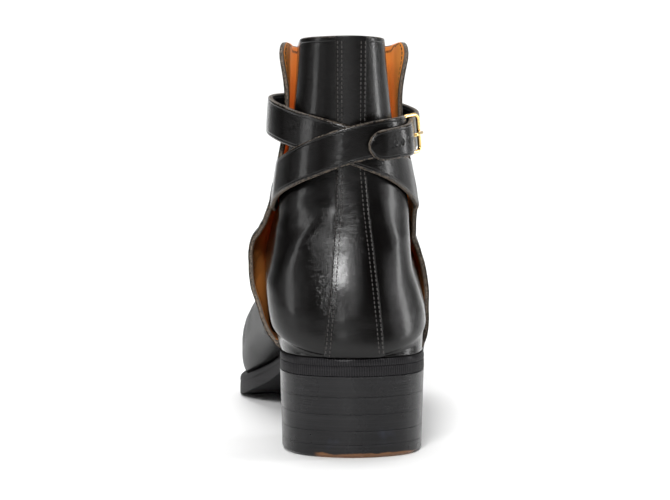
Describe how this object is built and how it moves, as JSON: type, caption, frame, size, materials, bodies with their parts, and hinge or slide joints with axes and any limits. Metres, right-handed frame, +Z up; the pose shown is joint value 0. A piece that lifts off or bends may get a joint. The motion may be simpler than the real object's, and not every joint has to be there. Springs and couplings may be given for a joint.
{
  "type": "jodhpur boot",
  "caption": "Right ankle boot in black leather: a tall back panel inside a front panel with wings, two straps that cross at the back to a side buckle, and a stacked heel.",
  "frame": {"origin": "centre of the boot's bounding box, on the ground it stands on", "axes": "+Y from the heel to the toe, +X to the outer side of the right foot, +Z up"},
  "size_m": [0.0892, 0.264, 0.1782],
  "materials": {
    "black_calf": "smooth polished, soft gloss",
    "sole_edge": "burnished black edge",
    "tan_lining": "undyed tan, satin",
    "brass": "polished"
  },
  "bodies": {
    "root": {"front_panel": "black_calf", "back_panel": "black_calf", "back_strip": "black_calf", "strap_over": "black_calf", "strap_under": "black_calf", "buckle_frame": "brass", "buckle_prong": "brass", "welt": "sole_edge", "outsole": "sole_edge", "heel_lift_1": "sole_edge", "heel_lift_2": "sole_edge", "heel_lift_3": "sole_edge", "heel_lift_4": "sole_edge", "heel_top_lift": "sole_edge", "insole": "tan_lining"}
  },
  "joints": []
}
